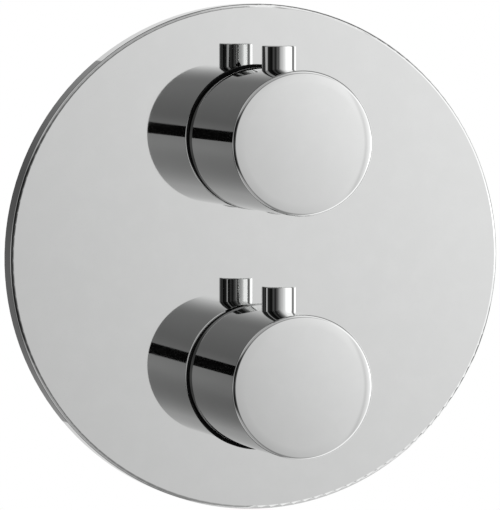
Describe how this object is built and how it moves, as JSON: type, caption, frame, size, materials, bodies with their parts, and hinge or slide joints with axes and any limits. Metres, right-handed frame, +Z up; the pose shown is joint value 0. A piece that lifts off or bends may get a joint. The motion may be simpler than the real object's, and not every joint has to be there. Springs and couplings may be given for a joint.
{
  "type": "thermostatic shower valve",
  "caption": "Concealed thermostatic shower mixing valve: round polished cover plate, temperature and flow knobs with pegs, in-wall brass body with cartridges.",
  "frame": {"origin": "centre of the round cover plate's back, in the plane of the finished wall", "axes": "+Z up, -Y out of the wall to the user, +Y into the wall, +X to the user's right; the temperature knob is the upper one"},
  "size_m": [0.18, 0.1484, 0.18],
  "materials": {
    "polished_chrome": "mirror polished chrome plating on brass",
    "cast_brass": "sand-blasted brass casting, unplated",
    "turned_brass": "turned brass",
    "copper_element": "drawn copper alloy",
    "black_sleeve": "black moulded plastic",
    "black_rubber": "black moulded rubber",
    "foam_gasket": "closed-cell foam",
    "white_plastic": "white moulded plastic",
    "grey_plastic": "grey moulded plastic",
    "spring_steel": "drawn stainless wire",
    "black_steel": "blackened steel",
    "steel_mesh": "perforated stainless sheet",
    "white_ceramic": "lapped ceramic"
  },
  "bodies": {
    "valve": {"cover_plate": "polished_chrome", "plate_gasket": "foam_gasket", "upper_collar_ring": "black_rubber", "lower_collar_ring": "black_rubber", "upper_face_ring": "black_rubber", "lower_face_ring": "black_rubber", "upper_sleeve": "black_sleeve", "lower_sleeve": "black_sleeve", "stop_ring": "white_plastic", "thermostat_housing": "turned_brass", "thermostat_seals": "black_rubber", "thermostat_lock_nut": "turned_brass", "thermostat_nose": "turned_brass", "return_spring": "spring_steel", "flow_housing": "turned_brass", "flow_housing_seal": "black_rubber", "fixed_disc": "white_ceramic", "disc_seal": "black_rubber", "valve_body": "cast_brass", "transfer_duct_plug": "turned_brass", "hot_strainer": "steel_mesh", "cold_strainer": "steel_mesh", "hot_check_body": "grey_plastic", "cold_check_body": "grey_plastic", "hot_check_spring": "spring_steel", "cold_check_spring": "spring_steel"},
    "temperature_control": {"temperature_knob": "polished_chrome", "temperature_peg": "polished_chrome", "temperature_spline_adaptor": "white_plastic", "temperature_grub_screw": "black_steel", "temperature_spindle": "turned_brass", "temperature_spindle_clip": "spring_steel", "temperature_spindle_seal": "black_rubber", "safety_button_spring": "spring_steel"},
    "safety_stop_button": {"safety_button": "polished_chrome", "safety_catch": "grey_plastic"},
    "regulating_nut": {"regulating_nut": "turned_brass", "overload_clip": "spring_steel", "overload_spring": "spring_steel"},
    "thermostat_element": {"overload_pusher": "turned_brass", "wax_element": "copper_element", "shuttle": "grey_plastic", "shuttle_seal": "black_rubber"},
    "flow_control": {"flow_knob": "polished_chrome", "flow_peg": "polished_chrome", "flow_spline_adaptor": "white_plastic", "flow_grub_screw": "black_steel", "flow_spindle": "turned_brass", "flow_spindle_clip": "spring_steel", "flow_spindle_seal": "black_rubber", "moving_disc": "white_ceramic"},
    "hot_check_poppet": {"hot_poppet": "grey_plastic"},
    "cold_check_poppet": {"cold_poppet": "grey_plastic"}
  },
  "joints": [
    {"name": "temperature_turn", "type": "hinge", "parent": "valve", "child": "temperature_control", "pos_m": [0, -0.0373, 0.0422], "axis": [0, -1, 0], "range_deg": [-180, 60]},
    {"name": "safety_button_push", "type": "slide", "parent": "temperature_control", "child": "safety_stop_button", "axis": [0, 0, 1], "range_m": [0, 0.0015], "stiffness_N_per_m": 1500, "springref_m": -0.0008, "deforming": ["safety_button_spring"]},
    {"name": "regulating_nut_slide", "type": "slide", "parent": "valve", "child": "regulating_nut", "axis": [0, -1, 0], "range_m": [-0.0021, 0.0007]},
    {"name": "thermostat_slide", "type": "slide", "parent": "valve", "child": "thermostat_element", "axis": [0, -1, 0], "range_m": [-0.0012, 0.0004], "deforming": ["return_spring", "overload_spring"]},
    {"name": "flow_turn", "type": "hinge", "parent": "valve", "child": "flow_control", "pos_m": [0, -0.0373, -0.0422], "axis": [0, -1, 0], "range_deg": [0, 90]},
    {"name": "hot_check_open", "type": "slide", "parent": "valve", "child": "hot_check_poppet", "axis": [1, 0, 0], "range_m": [0, 0.0025], "stiffness_N_per_m": 120, "springref_m": -0.002, "deforming": ["hot_check_spring"]},
    {"name": "cold_check_open", "type": "slide", "parent": "valve", "child": "cold_check_poppet", "axis": [-1, 0, 0], "range_m": [0, 0.0025], "stiffness_N_per_m": 120, "springref_m": -0.002, "deforming": ["cold_check_spring"]}
  ],
  "couplings": [
    {"joint": "regulating_nut_slide", "follows": "temperature_turn", "m_per_rad": 0.00063662},
    {"joint": "thermostat_slide", "follows": "temperature_turn", "m_per_rad": 0.00035014}
  ]
}
